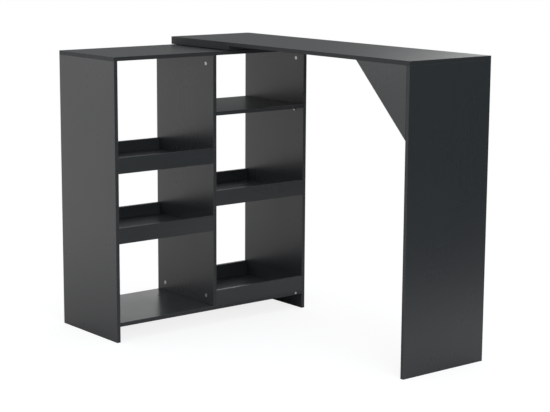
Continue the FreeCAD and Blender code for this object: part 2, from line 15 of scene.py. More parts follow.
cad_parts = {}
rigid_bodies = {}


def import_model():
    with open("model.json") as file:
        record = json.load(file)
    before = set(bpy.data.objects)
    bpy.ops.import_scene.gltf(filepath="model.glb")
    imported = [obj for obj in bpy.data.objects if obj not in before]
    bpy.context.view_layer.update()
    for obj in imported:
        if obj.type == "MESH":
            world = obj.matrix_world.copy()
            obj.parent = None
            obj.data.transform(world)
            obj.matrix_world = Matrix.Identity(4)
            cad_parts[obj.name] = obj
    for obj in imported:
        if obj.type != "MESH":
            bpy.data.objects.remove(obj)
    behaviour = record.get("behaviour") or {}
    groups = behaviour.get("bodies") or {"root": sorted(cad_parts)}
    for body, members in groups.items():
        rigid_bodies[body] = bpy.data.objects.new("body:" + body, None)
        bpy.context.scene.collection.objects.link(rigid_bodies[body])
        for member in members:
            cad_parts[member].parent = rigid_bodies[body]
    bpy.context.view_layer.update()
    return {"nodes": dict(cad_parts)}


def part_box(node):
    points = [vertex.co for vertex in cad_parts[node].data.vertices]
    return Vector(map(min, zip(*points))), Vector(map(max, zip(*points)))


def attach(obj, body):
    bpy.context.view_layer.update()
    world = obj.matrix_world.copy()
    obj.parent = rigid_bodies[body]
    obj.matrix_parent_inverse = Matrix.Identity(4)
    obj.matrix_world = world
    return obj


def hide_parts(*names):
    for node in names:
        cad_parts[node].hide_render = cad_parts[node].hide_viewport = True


for startup_object in list(bpy.data.objects):
    bpy.data.objects.remove(startup_object)
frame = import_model()
scene = bpy.context.scene
scene.view_settings.view_transform = "Standard"

# %% [markdown]
# ## Camera
# The photograph looks at the cabinet's left front corner from a little above the tabletop. Its place was
# worked out from the straight edges of the boards. A camera could be aimed with a constraint, but a fixed
# turn, tilt and roll say directly how the photographer stood.

# %% Camera
CAMERA_PLACE = Vector((-3.538, -4.455, 1.553))
CAMERA_TURN = math.radians(38.83)
CAMERA_TILT = math.radians(10.32)
CAMERA_ROLL = math.radians(0.35)
FOCAL_LENGTH_PIXELS = 1560
IMAGE_WIDTH_PIXELS = 550
SENSOR_WIDTH = 36.0


def stand_camera():
    lens_data = bpy.data.cameras.new("photo_camera")
    lens_data.sensor_width = SENSOR_WIDTH
    lens_data.lens = FOCAL_LENGTH_PIXELS / IMAGE_WIDTH_PIXELS * SENSOR_WIDTH
    camera = bpy.data.objects.new("photo_camera", lens_data)
    scene.collection.objects.link(camera)
    turn = Matrix.Rotation(-CAMERA_TURN, 4, "Z")
    tilt = Matrix.Rotation(math.pi / 2 - CAMERA_TILT, 4, "X")
    roll = Matrix.Rotation(CAMERA_ROLL, 4, "Z")
    camera.matrix_world = Matrix.Translation(CAMERA_PLACE) @ turn @ tilt @ roll
    scene.camera = camera
    return camera


camera = stand_camera()
print("lens:", round(camera.data.lens, 1), "mm")

# %% [markdown]
# ## Helpers for shader nodes
# A finish is a small network of nodes. Placing and linking each node by hand takes many lines, so `wire`
# makes one node, sets its options and fills its inputs: a socket is linked, anything else is set as a
# value. A Mix node has several sockets of the same name, so its colour sockets are picked by number.

# %% Shader node helpers
COLOUR_FACTOR, COLOUR_A, COLOUR_B, COLOUR_RESULT = 0, 6, 7, 2


def wire(tree, kind, inputs=None, **options):
    node = tree.nodes.new("ShaderNode" + kind)
    for option, value in options.items():
        setattr(node, option, value)
    for key, value in (inputs or {}).items():
        if isinstance(value, bpy.types.NodeSocket):
            tree.links.new(value, node.inputs[key])
        else:
            node.inputs[key].default_value = value
    return node


def calculate(tree, operation, *terms):
    return wire(tree, "Math", dict(enumerate(terms)), operation=operation).outputs[0]


def blend_colours(tree, factor, first, second):
    inputs = {COLOUR_FACTOR: factor, COLOUR_A: first, COLOUR_B: second}
    return wire(tree, "Mix", inputs, data_type="RGBA").outputs[COLOUR_RESULT]


def stretch_range(tree, value, low, high, new_low=0.0, new_high=1.0):
    inputs = {"Value": value, "From Min": low, "From Max": high, "To Min": new_low, "To Max": new_high}
    return wire(tree, "MapRange", inputs).outputs["Result"]


def empty_material(name):
    material = bpy.data.materials.new(name)
    material.use_nodes = True
    material.node_tree.nodes.clear()
    return material


print("shader helpers ready")

# %% [markdown]
# ## Floor
# The table stands on white studio paper. One could light the paper until it burns out, but then the black
# boards would turn grey. Here the paper is white for the camera. Near the table a part of that white is
# given up for lit paper, which adds the same where nothing shades it, so the shadow stays.
#
# Satin black shows mostly what it mirrors. In the photograph the sides of the boards mirror white paper,
# and the fronts mirror a dark, cool studio floor in front of it. So for reflections and for bounced light
# the sheet fades out a little in front of the leg. In reflections it is also darker under and close to the
# table, where the boards keep the light off. Ambient Occlusion measures just that.

# %% Finish of the paper
PAPER_WHITE = (1.0, 1.0, 1.0, 1.0)
PAPER_GREY = (0.80, 0.80, 0.80, 1.0)
STUDIO_FLOOR = (0.02, 0.03, 0.04, 1.0)
PAPER_END, PAPER_START = -1.9, -1.05
LIT_PAPER = 0.24
WHITE_GIVEN_UP = 0.17
SHADOW_NEAR, SHADOW_FAR = 1.0, 3.0
MIRRORED_NEAR, MIRRORED_FAR = 0.68, 1.0
CONTACT_REACH = 1.4


def paper_material():
    material = empty_material("studio_paper")
    tree = material.node_tree
    path = wire(tree, "LightPath").outputs
    place = wire(tree, "TexCoord").outputs["Object"]
    distance = wire(tree, "VectorMath", {0: place}, operation="LENGTH").outputs["Value"]
    backward = wire(tree, "SeparateXYZ", {0: place}).outputs["Y"]

    lit_share = stretch_range(tree, distance, SHADOW_NEAR, SHADOW_FAR, LIT_PAPER, 0.0)
    white_share = stretch_range(tree, distance, SHADOW_NEAR, SHADOW_FAR, 1.0 - WHITE_GIVEN_UP, 1.0)
    lit = wire(tree, "BsdfDiffuse", {"Color": lit_share}).outputs[0]
    white = wire(tree, "Emission", {"Strength": white_share}).outputs[0]
    photographed = wire(tree, "AddShader", {0: lit, 1: white}).outputs[0]

    sheet = stretch_range(tree, backward, PAPER_END, PAPER_START)
    sheet_colour = blend_colours(tree, sheet, STUDIO_FLOOR, PAPER_WHITE)
    open_sky = wire(tree, "AmbientOcclusion", {"Distance": CONTACT_REACH}).outputs["AO"]
    sheet_light = stretch_range(tree, distance, SHADOW_NEAR, SHADOW_FAR, MIRRORED_NEAR, MIRRORED_FAR)
    sheet_light = calculate(tree, "MULTIPLY", sheet_light, open_sky)
    mirrored = wire(tree, "Emission", {"Color": sheet_colour, "Strength": sheet_light}).outputs[0]

    bounce_colour = blend_colours(tree, sheet, STUDIO_FLOOR, PAPER_GREY)
    grey = wire(tree, "BsdfDiffuse", {"Color": bounce_colour}).outputs[0]
    bounced = wire(tree, "MixShader", {0: path["Is Glossy Ray"], 1: grey, 2: mirrored}).outputs[0]
    seen = calculate(tree, "MAXIMUM", path["Is Camera Ray"], path["Is Transmission Ray"])
    shown = wire(tree, "MixShader", {0: seen, 1: bounced, 2: photographed}).outputs[0]
    wire(tree, "OutputMaterial", {"Surface": shown})
    return material


studio_paper = paper_material()
print("floor finish:", studio_paper.name, "with", len(studio_paper.node_tree.nodes), "nodes")

# %% [markdown]
# A curved backdrop would need a bend behind the table. A flat sheet that is much wider than the room looks
# the same from every side, because its far end lies at the horizon.

# %% Lay the paper
PAPER_SIZE = 600.0


def lay_paper():
    half = PAPER_SIZE / 2
    sheet = bpy.data.meshes.new("studio_floor")
    corners = [(-half, -half, 0), (half, -half, 0), (half, half, 0), (-half, half, 0)]
    sheet.from_pydata(corners, [], [(0, 1, 2, 3)])
    sheet.materials.append(studio_paper)
    floor = bpy.data.objects.new("studio_floor", sheet)
    scene.collection.objects.link(floor)
    return floor


floor = lay_paper()
print("floor:", floor.name, PAPER_SIZE, "m wide")

# %% [markdown]
# ## Light
# One large lamp could light the whole table. But satin black shows mostly mirrored light, so each softbox
# stands where one group of faces mirrors it. The main one is behind on the left, for the faces that look
# left and the open back of the cabinet. A low strip behind on the right is what the bottom board mirrors.
# A card on the right hangs on its corner, so that its glow on the tabletop grows gradually towards the
# front end. Dim walls and a pale ceiling light the tray floors and the tops of the rails.
#
# A strong, cool fill lights the fronts and the insides of the trays. It is kept out of reflections, as a
# real one would be so large and far away that no board shows its shape.

# %% Studio light
NEUTRAL, COOL = (1.0, 1.0, 1.0), (0.80, 0.92, 1.0)
ROOM_COLOUR = (0.96, 0.99, 1.0, 1.0)
WALL_LIGHT, CEILING_LIGHT = 0.17, 0.85
WALL_TOP, CEILING_START = 0.25, 0.60
SOFTBOXES = {
    "left_rear_softbox": {
        "place": (-3.9, 3.4, 1.7), "aim": (0.0, 0.3, 0.6), "size": (2.4, 2.0), "watts": 22.0,
    },
    "right_rear_strip": {
        "place": (2.1, 2.3, 0.42), "aim": (0.0, 0.2, 0.4), "size": (3.0, 0.75), "watts": 9.6,
    },
    "right_card": {
        "place": (2.13, 0.75, 1.98), "aim": (0.53, -0.83, 1.68), "size": (1.15, 1.15), "watts": 4.4,
        "turned": math.radians(45),
    },
    "top_softbox": {
        "place": (0.9, -1.2, 3.9), "aim": (0.2, -0.1, 0.8), "size": (2.4, 2.4), "watts": 6.0,
    },
    "front_fill": {
        "place": (-1.5, -5.5, 2.6), "aim": (0.0, 0.0, 0.6), "size": (4.0, 3.0), "watts": 150.0,
        "colour": COOL, "mirrored": False,
    },
}


def light_room():
    world = bpy.data.worlds.new("studio_room")
    scene.world = world
    world.use_nodes = True
    tree = world.node_tree
    tree.nodes.clear()
    direction = wire(tree, "TexCoord").outputs["Generated"]
    upward = wire(tree, "SeparateXYZ", {0: direction}).outputs["Z"]
    strength = stretch_range(tree, upward, WALL_TOP, CEILING_START, WALL_LIGHT, CEILING_LIGHT)
    room = wire(tree, "Background", {"Color": ROOM_COLOUR, "Strength": strength})
    wire(tree, "OutputWorld", {"Surface": room.outputs[0]})


def hang_softbox(name, place, aim, size, watts, colour=NEUTRAL, turned=0.0, mirrored=True):
    lamp = bpy.data.lights.new(name, "AREA")
    lamp.shape = "RECTANGLE"
    lamp.size, lamp.size_y = size
    lamp.energy = watts
    lamp.color = colour
    softbox = bpy.data.objects.new(name, lamp)
    aimed = (Vector(aim) - Vector(place)).to_track_quat("-Z", "Y").to_matrix().to_4x4()
    softbox.matrix_world = Matrix.Translation(place) @ aimed @ Matrix.Rotation(turned, 4, "Z")
    softbox.visible_camera = False
    softbox.visible_glossy = mirrored
    scene.collection.objects.link(softbox)


light_room()
for softbox_name, softbox in SOFTBOXES.items():
    hang_softbox(softbox_name, **softbox)
print("lamps:", list(SOFTBOXES))

# %% [markdown]
# ## Effects that several finishes share
# Black melamine has a faint pressed wood grain, edge bands of a slightly different gloss, hand marks and a
# little dust. Each effect is one node group with named inputs, so every board and fitting can take it with
# its own values. The groups read coordinates and normals of the object itself, so they turn with the table.

# %% Empty effect group
GROUP_SOCKETS = {"value": "NodeSocketFloat", "vector": "NodeSocketVector"}


def effect_group(name, inputs, outputs):
    tree = bpy.data.node_groups.new(name, "ShaderNodeTree")
    for label, kind in inputs.items():
        tree.interface.new_socket(label, in_out="INPUT", socket_type=GROUP_SOCKETS[kind])
    for label, kind in outputs.items():
        tree.interface.new_socket(label, in_out="OUTPUT", socket_type=GROUP_SOCKETS[kind])
    return tree, tree.nodes.new("NodeGroupInput").outputs, tree.nodes.new("NodeGroupOutput").inputs


def scaled_noise(tree, place, scale, detail, roughness=0.5):
    inputs = {"Vector": place, "Scale": scale, "Detail": detail, "Roughness": roughness}
    return wire(tree, "TexNoise", inputs).outputs["Fac"]


print("group sockets:", sorted(GROUP_SOCKETS))

# %% [markdown]
# ### Pressed wood grain
# The press plate leaves shallow pores that run along each board. A wave texture looks too regular for that.
# Noise that is stretched along the grain gives streaks and pores of uneven length.

# %% Pressed wood grain
STREAK_FINENESS, STREAK_DETAIL, STREAK_ROUGHNESS = 1.0, 4.0, 0.6
PORE_FINENESS, PORE_DETAIL = 4.0, 2.0
PORE_START, PORE_END = 0.54, 0.68


def build_grain_group():
    inputs = {"Place": "vector", "Stretch": "vector"}
    tree, given, result = effect_group("pressed_grain", inputs, {"Streak": "value", "Pore": "value"})
    factors = {0: given["Place"], 1: given["Stretch"]}
    along = wire(tree, "VectorMath", factors, operation="MULTIPLY").outputs[0]
    streak = scaled_noise(tree, along, STREAK_FINENESS, STREAK_DETAIL, STREAK_ROUGHNESS)
    pore = scaled_noise(tree, along, PORE_FINENESS, PORE_DETAIL)
    tree.links.new(streak, result["Streak"])
    tree.links.new(stretch_range(tree, pore, PORE_START, PORE_END), result["Pore"])
    return tree


grain_group = build_grain_group()
print("effect:", grain_group.name)

# %% [markdown]
# ### Edge bands
# A board's narrow sides are closed with a glued plastic band, and the thin slanted arris between band and
# face is where it gets scraped. Both can be told from the way a face looks: along the board's thickness,
# across it, or between the two. That needs no hand-painted mask.

# %% Edge bands
ARRIS_LEAN = math.cos(math.radians(45))
ARRIS_SPREAD = 0.2
BAND_LEAN = 0.3


def build_band_group():
    inputs = {"Normal": "vector", "Thickness": "vector"}
    tree, given, result = effect_group("edge_band", inputs, {"Band": "value", "Arris": "value"})
    directions = {0: given["Normal"], 1: given["Thickness"]}
    lean = wire(tree, "VectorMath", directions, operation="DOT_PRODUCT").outputs["Value"]
    lean = calculate(tree, "ABSOLUTE", lean)
    tree.links.new(calculate(tree, "LESS_THAN", lean, BAND_LEAN), result["Band"])
    tree.links.new(calculate(tree, "COMPARE", lean, ARRIS_LEAN, ARRIS_SPREAD), result["Arris"])
    return tree


band_group = build_band_group()
print("effect:", band_group.name)

# %% [markdown]
# ### Hand marks and dust
# A satin surface that is used shows soft patches where it was wiped, and dust that lies only on what faces
# up. Both are noise. Dust is multiplied by the upward part of the normal, as it falls from above.

# %% Hand marks and dust
MARK_DETAIL, MARK_ROUGHNESS = 3.0, 0.55
MARK_START, MARK_END = 0.35, 0.70
DUST_SLOPE_START, DUST_SLOPE_END = 0.6, 0.95
SPECK_SCALE, SPECK_DETAIL = 700.0, 1.0
SPECK_START, SPECK_END = 0.60, 0.75
CLOUD_SCALE, CLOUD_DETAIL = 9.0, 3.0


def build_marks_group():
    inputs = {"Place": "vector", "Scale": "value"}
    tree, given, result = effect_group("hand_marks", inputs, {"Marks": "value"})
    broad = scaled_noise(tree, given["Place"], given["Scale"], MARK_DETAIL, MARK_ROUGHNESS)
    tree.links.new(stretch_range(tree, broad, MARK_START, MARK_END), result["Marks"])
    return tree


def build_dust_group():
    inputs = {"Place": "vector", "Normal": "vector"}
    tree, given, result = effect_group("settled_dust", inputs, {"Dust": "value"})
    upward = wire(tree, "SeparateXYZ", {0: given["Normal"]}).outputs["Z"]
    lying = stretch_range(tree, upward, DUST_SLOPE_START, DUST_SLOPE_END)
    fine = scaled_noise(tree, given["Place"], SPECK_SCALE, SPECK_DETAIL)
    specks = stretch_range(tree, fine, SPECK_START, SPECK_END)
    cloud = scaled_noise(tree, given["Place"], CLOUD_SCALE, CLOUD_DETAIL)
    clouded = calculate(tree, "MULTIPLY", specks, cloud)
    tree.links.new(calculate(tree, "MULTIPLY", clouded, lying), result["Dust"])
    return tree


marks_group = build_marks_group()
dust_group = build_dust_group()
print("effects:", marks_group.name, dust_group.name)

# %% [markdown]
# ## Black laminate
# All boards are the same black melamine, but the grain follows each board's length. One material with a
# fixed grain would run across half of them. So one function writes the finish, and it is called once for
# each way that a board can lie: its thickness and its grain are given as axes. The bands differ as well:
# those of the rails are glossier than those of the panels, and those of the two tops are duller, and darker
# as painted shade on the edges of the tabletop and the cabinet top.

# %% Black laminate
MM = 0.001
AXIS = {"X": (1.0, 0.0, 0.0), "Y": (0.0, 1.0, 0.0), "Z": (0.0, 0.0, 1.0)}
GRAIN_ACROSS, GRAIN_ALONG = 110.0, 3.5
MARK_SCALE = 5.0
BLACK_DEEP = (0.032, 0.033, 0.034, 1.0)
BLACK_STREAK = (0.037, 0.038, 0.039, 1.0)
BAND_BLACK = (0.030, 0.031, 0.032, 1.0)
# painted shade: the bands of the two tops are a little darker than the others, standing in for the shade on
# their edges
TOP_BAND_SHADED_BLACK = (0.026, 0.027, 0.028, 1.0)
PLAIN_BAND = {"black": BAND_BLACK, "roughens": 0.20}
RAIL_BAND = {"black": BAND_BLACK, "roughens": 0.07}
TOP_BAND = {"black": TOP_BAND_SHADED_BLACK, "roughens": 0.33}
ARRIS_GREY = (0.055, 0.056, 0.058, 1.0)
ARRIS_WEAR_LEAST = 0.3
DUST_GREY = (0.20, 0.20, 0.19, 1.0)
DUST_COVER = 0.25
SATIN_CLEAN, SATIN_HANDLED = 0.27, 0.31
PORE_ROUGHENS, PORE_DEPTH, PORE_STRENGTH = 0.03, 0.03 * MM, 0.06


def apply_group(tree, group, inputs):
    return wire(tree, "Group", inputs, node_tree=group).outputs


def laminate(name, thickness, grain, band=PLAIN_BAND):
    material = empty_material(name)
    tree = material.node_tree
    coordinates = wire(tree, "TexCoord").outputs
    place, normal = coordinates["Object"], coordinates["Normal"]
    stretch = [GRAIN_ALONG if axis == grain else GRAIN_ACROSS for axis in "XYZ"]
    pressed = apply_group(tree, grain_group, {"Place": place, "Stretch": stretch})
    edge = apply_group(tree, band_group, {"Normal": normal, "Thickness": AXIS[thickness]})
    marks = apply_group(tree, marks_group, {"Place": place, "Scale": MARK_SCALE})["Marks"]
    dust = apply_group(tree, dust_group, {"Place": place, "Normal": normal})["Dust"]

    face = blend_colours(tree, pressed["Streak"], BLACK_DEEP, BLACK_STREAK)
    banded = blend_colours(tree, edge["Band"], face, band["black"])
    wear = stretch_range(tree, marks, 0.0, 1.0, ARRIS_WEAR_LEAST, 1.0)
    scraped = blend_colours(tree, calculate(tree, "MULTIPLY", edge["Arris"], wear), banded, ARRIS_GREY)
    dusty = blend_colours(tree, calculate(tree, "MULTIPLY", dust, DUST_COVER), scraped, DUST_GREY)

    satin = stretch_range(tree, marks, 0.0, 1.0, SATIN_CLEAN, SATIN_HANDLED)
    pored = calculate(tree, "MULTIPLY_ADD", pressed["Pore"], PORE_ROUGHENS, satin)
    roughness = calculate(tree, "MULTIPLY_ADD", edge["Band"], band["roughens"], pored)
    height = calculate(tree, "SUBTRACT", 1.0, pressed["Pore"])
    bump = wire(tree, "Bump", {"Height": height, "Distance": PORE_DEPTH, "Strength": PORE_STRENGTH})

    shader = wire(tree, "BsdfPrincipled", {
        "Base Color": dusty, "Roughness": roughness, "Normal": bump.outputs["Normal"],
    })
    wire(tree, "OutputMaterial", {"Surface": shader.outputs[0]})
    return material


upright_laminate = laminate("upright_laminate", "X", "Z")
leg_laminate = laminate("leg_laminate", "Y", "Z")
rail_laminate = laminate("rail_laminate", "Y", "X", RAIL_BAND)
shelf_laminate = laminate("shelf_laminate", "Z", "X")
cabinet_top_laminate = laminate("cabinet_top_laminate", "Z", "X", TOP_BAND)
tabletop_laminate = laminate("tabletop_laminate", "Z", "Y", TOP_BAND)
print("laminates:", [material.name for material in bpy.data.materials if "laminate" in material.name])

# %% [markdown]
# ### A finish for each board
# Each CAD board is an object of its own, so it could get a material of its own. Boards that lie alike share
# one instead, and a later change of the laminate then reaches all of them. Only the material slots are
# written, so the boards' meshes stay as the CAD made them.

# %% Finish for each board
UPRIGHTS = ["left_side_panel", "right_side_panel", "centre_panel", "corner_brace"]
LEG = ["leg_panel"]
TRAYS = ["left_upper", "left_lower", "right_middle"]
RAILS = [f"{tray}_{side}_rail" for tray in TRAYS + ["right_bottom"] for side in ("front", "rear")]
SHELVES = ["bottom_board", "right_upper_shelf"] + [f"{tray}_tray_board" for tray in TRAYS]
CABINET_TOP = ["cabinet_top"]
TABLE_BOARDS = ["tabletop", "swivel_block"]
BOARDS = UPRIGHTS + LEG + RAILS + SHELVES + CABINET_TOP + TABLE_BOARDS


def finish_nodes(names, material):
    for name in names:
        for slot in frame["nodes"][name].material_slots:
            slot.material = material


finish_nodes(UPRIGHTS, upright_laminate)
finish_nodes(LEG, leg_laminate)
finish_nodes(RAILS, rail_laminate)
finish_nodes(SHELVES, shelf_laminate)
finish_nodes(CABINET_TOP, cabinet_top_laminate)
finish_nodes(TABLE_BOARDS, tabletop_laminate)
print("boards finished:", len(BOARDS))

# %% [markdown]
# ## Finishes of the fittings
# The cams are die-cast zinc, the bolts zinc-plated steel and the shelf supports nickel-plated. These metals
# differ in tone and gloss more than in pattern, so they share one fine skin of mottle and tiny bumps.

# %% Fine skin of cast and moulded pieces
MOTTLE_SCALE, MOTTLE_DETAIL = 260.0, 3.0
SKIN_SCALE, SKIN_DETAIL = 1800.0, 2.0


def build_skin_group():
    outputs = {"Mottle": "value", "Height": "value"}
    tree, given, result = effect_group("fine_skin", {"Place": "vector"}, outputs)
    tree.links.new(scaled_noise(tree, given["Place"], MOTTLE_SCALE, MOTTLE_DETAIL), result["Mottle"])
    tree.links.new(scaled_noise(tree, given["Place"], SKIN_SCALE, SKIN_DETAIL), result["Height"])
    return tree


skin_group = build_skin_group()
print("effect:", skin_group.name)

# %% [markdown]
# ### Metals and nylon
# Each fitting has two tones that the mottle blends, and a gloss that wanders with the hand marks. Nylon, as
# in the bush and the glide disc of the pivot, is the same finish without being metal.

# %% Metals and nylon
SKIN_DEPTH, SKIN_STRENGTH = 0.02 * MM, 0.6


def fitting_finish(name, dull, bright, smooth, rough, metallic=1.0):
    material = empty_material(name)
    tree = material.node_tree
    place = wire(tree, "TexCoord").outputs["Object"]
    fine = apply_group(tree, skin_group, {"Place": place})
    marks = apply_group(tree, marks_group, {"Place": place, "Scale": MOTTLE_SCALE})["Marks"]
    bump = wire(tree, "Bump", {"Height": fine["Height"], "Distance": SKIN_DEPTH, "Strength": SKIN_STRENGTH})
    shader = wire(tree, "BsdfPrincipled", {
        "Base Color": blend_colours(tree, fine["Mottle"], dull, bright),
        "Roughness": stretch_range(tree, marks, 0.0, 1.0, smooth, rough),
        "Normal": bump.outputs["Normal"],
        "Metallic": metallic,
    })
    wire(tree, "OutputMaterial", {"Surface": shader.outputs[0]})
    return material


cast_zinc = fitting_finish(
    "cast_zinc", dull=(0.54, 0.54, 0.55, 1.0), bright=(0.70, 0.70, 0.71, 1.0), smooth=0.30, rough=0.42,
)
plated_steel = fitting_finish(
    "plated_steel", dull=(0.44, 0.45, 0.47, 1.0), bright=(0.58, 0.59, 0.61, 1.0), smooth=0.24, rough=0.38,
)
bright_nickel = fitting_finish(
    "bright_nickel", dull=(0.76, 0.75, 0.73, 1.0), bright=(0.88, 0.87, 0.85, 1.0), smooth=0.20, rough=0.32,
)
grey_nylon = fitting_finish(
    "grey_nylon", dull=(0.12, 0.12, 0.125, 1.0), bright=(0.17, 0.17, 0.175, 1.0), smooth=0.42, rough=0.55,
    metallic=0.0,
)
finish_nodes(["pivot_bush", "glide_disc"], grey_nylon)
print("fitting finishes:", [finish.name for finish in (cast_zinc, plated_steel, bright_nickel, grey_nylon)])

# %% [markdown]
# ### Beech
# The dowels are plain beech. A wood of its own could be built from rings, but a dowel shows only fine
# fibres, so it takes the grain of the boards in its own colours and at its own scale.

# %% Beech
BEECH_STRETCH = (60.0, 420.0, 420.0)
BEECH_DARK = (0.46, 0.31, 0.18, 1.0)
BEECH_PALE = (0.70, 0.53, 0.35, 1.0)
BEECH_SMOOTH, BEECH_ROUGH = 0.55, 0.70
FIBRE_STRENGTH = 0.6


def beech_finish():
    material = empty_material("dowel_beech_grain")
    tree = material.node_tree
    place = wire(tree, "TexCoord").outputs["Object"]
    grain = apply_group(tree, grain_group, {"Place": place, "Stretch": BEECH_STRETCH})
    fibres = {"Height": grain["Streak"], "Distance": PORE_DEPTH, "Strength": FIBRE_STRENGTH}
    shader = wire(tree, "BsdfPrincipled", {
        "Base Color": blend_colours(tree, grain["Streak"], BEECH_DARK, BEECH_PALE),
        "Roughness": stretch_range(tree, grain["Pore"], 0.0, 1.0, BEECH_SMOOTH, BEECH_ROUGH),
        "Normal": wire(tree, "Bump", fibres).outputs["Normal"],
    })
    wire(tree, "OutputMaterial", {"Surface": shader.outputs[0]})
    return material


plain_beech = beech_finish()
print("wood finish:", plain_beech.name)

# %% [markdown]
# ## Skinning turned fittings
# Cams, bolts, dowels and screws are round pieces with a profile. Blender's Screw modifier turns a profile,
# but it can't change a round section into a cross recess or a hexagon on the way. Skinning a row of rings
# can: each ring has a radius and a height in millimetres, and the radius may be a formula of the angle.

# %% Rings and skins
RING_SIDES = 48


def ring(reach, height, sides):
    points = []
    for side in range(sides):
        angle = 2 * math.pi * side / sides
        radius = reach(angle) if callable(reach) else reach
        points.append(MM * Vector((radius * math.cos(angle), radius * math.sin(angle), height)))
    return points


def skin(mesh, profile, place, sides=RING_SIDES, tube=False):
    """Joins the rings of a profile into a closed solid, or into a tube that ends where it starts."""
    rows = [[mesh.verts.new(place @ point) for point in ring(*step, sides)] for step in profile]
    for lower, upper in zip(rows, rows[1:] + (rows[:1] if tube else [])):
        for side in range(sides):
            after = (side + 1) % sides
            mesh.faces.new((lower[side], lower[after], upper[after], upper[side]))
    if not tube:
        mesh.faces.new(rows[0][::-1])
        mesh.faces.new(rows[-1])


print("rings of", RING_SIDES, "sides")

# %% [markdown]
# ## Where the fittings sit
# The CAD nodes already hold each fitting in its drilling, so no place is typed in again. A node such as the
# cam discs is a group of separate solids. Walking along the edges from one corner finds one solid, and its
# box gives its place, its size and the way it lies.

# %% Places read from the CAD solids
WELD = 1e-6
AXES = [Vector(axis) for axis in AXIS.values()]


def solids_of(node):
    """Lowest and highest corner of each separate solid of a node."""
    mesh = bmesh.new()
    mesh.from_mesh(frame["nodes"][node].data)
    bmesh.ops.remove_doubles(mesh, verts=mesh.verts, dist=WELD)
    waiting = set(mesh.verts)
    boxes = []
    while waiting:
        reached = [waiting.pop()]
        for corner in reached:
            linked = {edge.other_vert(corner) for edge in corner.link_edges} & waiting
            waiting -= linked
            reached.extend(linked)
        low = Vector(min(corner.co[axis] for corner in reached) for axis in range(3))
        high = Vector(max(corner.co[axis] for corner in reached) for axis in range(3))
        boxes.append((low, high))
    mesh.free()
    return sorted(boxes, key=lambda box: tuple(box[0]))


def middle(box):
    return (box[0] + box[1]) / 2


def axes_by_length(box):
    """The box's axes, shortest first."""
    return sorted(range(3), key=lambda axis: box[1][axis] - box[0][axis])


def standing(origin, upward, forward=None):
    """A place whose own Z runs upward and whose own X runs forward."""
    forward = forward or upward.orthogonal().normalized()
    turned = Matrix((forward, upward.cross(forward), upward)).transposed().to_4x4()
    return Matrix.Translation(origin) @ turned


def nearest(point, others):
    return min(others, key=lambda other: (other - point).length)


print("cam discs in the cabinet:", len(solids_of("cabinet_cam_discs")))

# %% [markdown]
# ## From a mesh to a piece
# Each fitting ends the same way: its mesh becomes an object, gets its finish, rides on the cabinet or on
# the table, and stands for the plain CAD solids. Smooth shading alone would blur the crisp edges of turned
# metal, so edges beyond an angle are marked sharp.

# %% Piece maker
SHARP_ANGLE = math.radians(35)


def new_piece(name, mesh, material, slot, body, *nodes):
    data = bpy.data.meshes.new(name)
    mesh.to_mesh(data)
    mesh.free()
    data.shade_smooth()
    data.set_sharp_from_angle(angle=SHARP_ANGLE)
    data.materials.append(material)
    piece = bpy.data.objects.new(name, data)
    scene.collection.objects.link(piece)
    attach(piece, body)
    if nodes:
        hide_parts(*nodes)
    print(name, "faces:", len(data.polygons))


print("edges are sharp from", round(math.degrees(SHARP_ANGLE)), "degrees")

# %% [markdown]
# ## Cam discs
# A cam disc sits in a round hole in one board, swallows the head of a bolt from the other, and draws the
# two together when its cross recess is turned. The disc is skinned ring by ring. Its mouth for the bolt
# lies across those rings, so it is cut with a Boolean.

# %% One cam disc
CAM_RADIUS, CAM_DEPTH, CAM_RIM, CAM_FACE = 7.4, 12.6, 0.5, -0.25
GROOVE_OUTSIDE, GROOVE_INSIDE, GROOVE_SLOPE = CAM_RADIUS - 1.5, CAM_RADIUS - 2.4, 0.2
GROOVE_FLOOR = CAM_FACE - 0.45
CROSS_SHARPNESS = 4
CROSS_TIP, CROSS_WAIST = 4.4, 1.5
CROSS_FLOOR_TIP, CROSS_FLOOR_WAIST, CROSS_FLOOR = 3.2, 0.9, CAM_FACE - 2.4
MOUTH_RADIUS, MOUTH_BACK, MOUTH_OVERSHOOT, MOUTH_SIDES = 3.9, -4.0, 1.0, 24
BOARD_MIDDLE = -7.5


def cross(tip, waist):
    """Reach of a cross recess: four rounded wings round a narrow waist."""
    return lambda angle: waist + (tip - waist) * math.cos(2 * angle) ** CROSS_SHARPNESS


def solid_object(name, profile, place, sides=RING_SIDES):
    mesh = bmesh.new()
    skin(mesh, profile, place, sides)
    data = bpy.data.meshes.new(name)
    mesh.to_mesh(data)
    mesh.free()
    solid = bpy.data.objects.new(name, data)
    scene.collection.objects.link(solid)
    return solid


